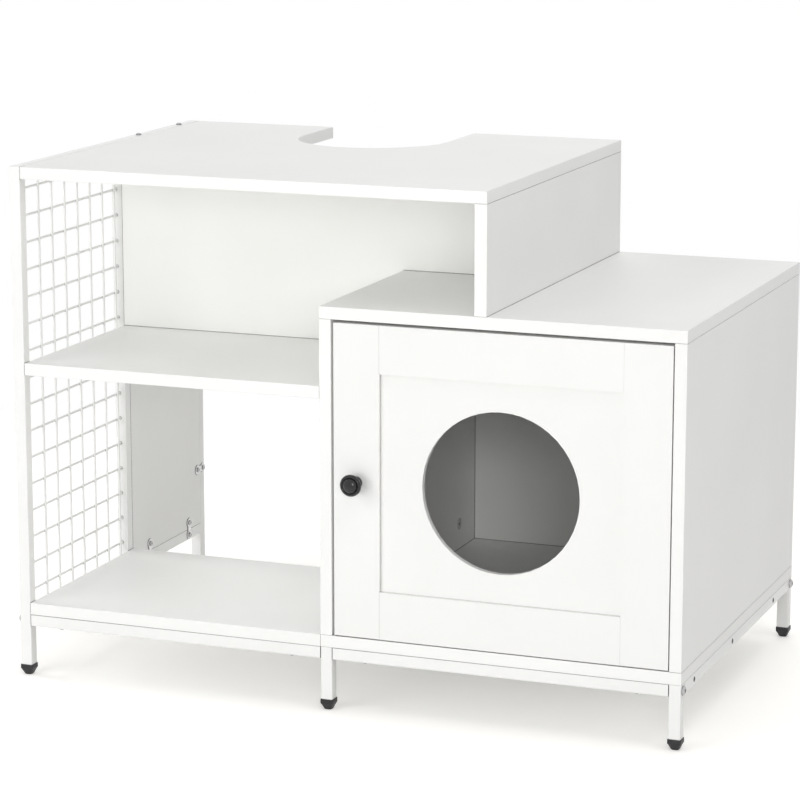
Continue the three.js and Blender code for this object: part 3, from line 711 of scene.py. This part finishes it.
world = bpy.data.worlds.new("studio")
bpy.context.scene.world = world
world.use_nodes = True
world.node_tree.nodes.clear()
sky = Nodes(world.node_tree)
seen = sky.add("ShaderNodeBackground", Color=(1, 1, 1, 1), Strength=1.0)
soft = sky.add("ShaderNodeBackground", Color=(1, 1, 1, 1), Strength=AMBIENT)
mixed = sky.add("ShaderNodeMixShader")
sky.link(camera_like_rays(sky), mixed.inputs[0])
sky.link(soft.outputs[0], mixed.inputs[1])
sky.link(seen.outputs[0], mixed.inputs[2])
sky.link(mixed.outputs[0], sky.add("ShaderNodeOutputWorld").inputs["Surface"])

# Most rays meet a matte pale floor. The rays that show the background see it lifted toward white,
# shadow included, and plain white further from the object.
floor_material = bpy.data.materials.new("studio_floor")
floor_material.use_nodes = True
floor_material.node_tree.nodes.clear()
ground = Nodes(floor_material.node_tree)
where = ground.add("ShaderNodeTexCoord").outputs["Object"]
mottle = noise(ground, where, 3.0, 3.0).outputs["Fac"]
tint = between(ground, mottle, (0.862, 0.856, 0.842), (0.874, 0.868, 0.854))
matte = ground.add("ShaderNodeBsdfDiffuse", Color=tint)
lift = ground.add("ShaderNodeEmission", Color=(1, 0.99, 0.965, 1), Strength=FLOOR_LIFT)
lifted = ground.add("ShaderNodeAddShader")
ground.link(matte.outputs[0], lifted.inputs[0])
ground.link(lift.outputs[0], lifted.inputs[1])
near = ground.add("ShaderNodeMixShader")
shown = camera_like_rays(ground)
ground.link(shown, near.inputs[0])
ground.link(matte.outputs[0], near.inputs[1])
ground.link(lifted.outputs[0], near.inputs[2])
white = ground.add("ShaderNodeEmission", Color=(1, 1, 1, 1), Strength=1.0)
far = ground.add("ShaderNodeMixShader")
ground.link(shown, far.inputs[0])
ground.link(matte.outputs[0], far.inputs[1])
ground.link(white.outputs[0], far.inputs[2])
distance = ground.add("ShaderNodeVectorMath", {"operation": "LENGTH"})
ground.link(where, distance.inputs[0])
fade = ground.add(
    "ShaderNodeMapRange",
    {"interpolation_type": "SMOOTHSTEP"},
    Value=distance.outputs["Value"],
    From_Min=FADE_START,
    From_Max=FADE_END,
)
floor_shader = ground.add("ShaderNodeMixShader")
ground.link(fade.outputs["Result"], floor_shader.inputs[0])
ground.link(near.outputs[0], floor_shader.inputs[1])
ground.link(far.outputs[0], floor_shader.inputs[2])
ground.link(floor_shader.outputs[0], ground.add("ShaderNodeOutputMaterial").inputs["Surface"])

mesh = bmesh.new()
bmesh.ops.create_circle(mesh, cap_ends=True, segments=96, radius=FLOOR_RADIUS)
data = bpy.data.meshes.new("studio_floor")
mesh.to_mesh(data)
mesh.free()
data.materials.append(floor_material)
floor = bpy.data.objects.new("studio_floor", data)
bpy.context.scene.collection.objects.link(floor)


# Lamps are placed and sized in metres, in the row's frame.
AIM = Vector((0, 0, 0.3))


def softbox(name, at, size, power, mirrored=True):
    """A softbox aimed at the object; mirrored says whether gloss shows it."""
    data = bpy.data.lights.new(name, "AREA")
    data.shape = "RECTANGLE"
    data.size, data.size_y = size
    data.energy = power
    lamp = bpy.data.objects.new(name, data)
    bpy.context.scene.collection.objects.link(lamp)
    lamp.location = at
    lamp.rotation_euler = (AIM - Vector(at)).to_track_quat("-Z", "Y").to_euler()
    lamp.visible_glossy = mirrored


softbox("key_light", (-1.9, -2.8, 1.9), (2.0, 2.0), 30, False)
softbox("front_light", (1.45, -3.4, 1.2), (0.9, 0.7), 24)
softbox("low_light", (-0.7, -3.4, 0.5), (2.0, 0.9), 26, False)
softbox("upper_left_light", (-2.3, 0.1, 2.6), (0.5, 0.4), 7)
softbox("top_light", (1.2, -0.9, 2.8), (1.8, 1.4), 19, False)
softbox("rear_top_light", (0.1, 2.2, 2.6), (2.4, 1.6), 22, False)
softbox("right_light", (3.2, -0.8, 1.2), (1.4, 1.6), 12, False)
softbox("left_light", (-3.2, 0.2, 1.0), (1.4, 1.4), 32, False)
softbox("rear_light", (-0.4, 3.2, 1.4), (2.0, 1.4), 16, False)

CAMERA_AT = (1778.2, -3287.8, 1122.2)
CAMERA_DOWN, CAMERA_ROUND = 11.751, 21.117  # degrees
scene = bpy.context.scene
camera_data = bpy.data.cameras.new("camera")
camera_data.lens = 138.573
camera_data.sensor_width = 36
camera = bpy.data.objects.new("camera", camera_data)
scene.collection.objects.link(camera)
camera.location = place(*CAMERA_AT)
camera.rotation_euler = (math.radians(90 - CAMERA_DOWN), 0, math.radians(CAMERA_ROUND))
camera_data.clip_start, camera_data.clip_end = 0.05, 60
scene.camera = camera
scene.view_settings.view_transform = "Standard"
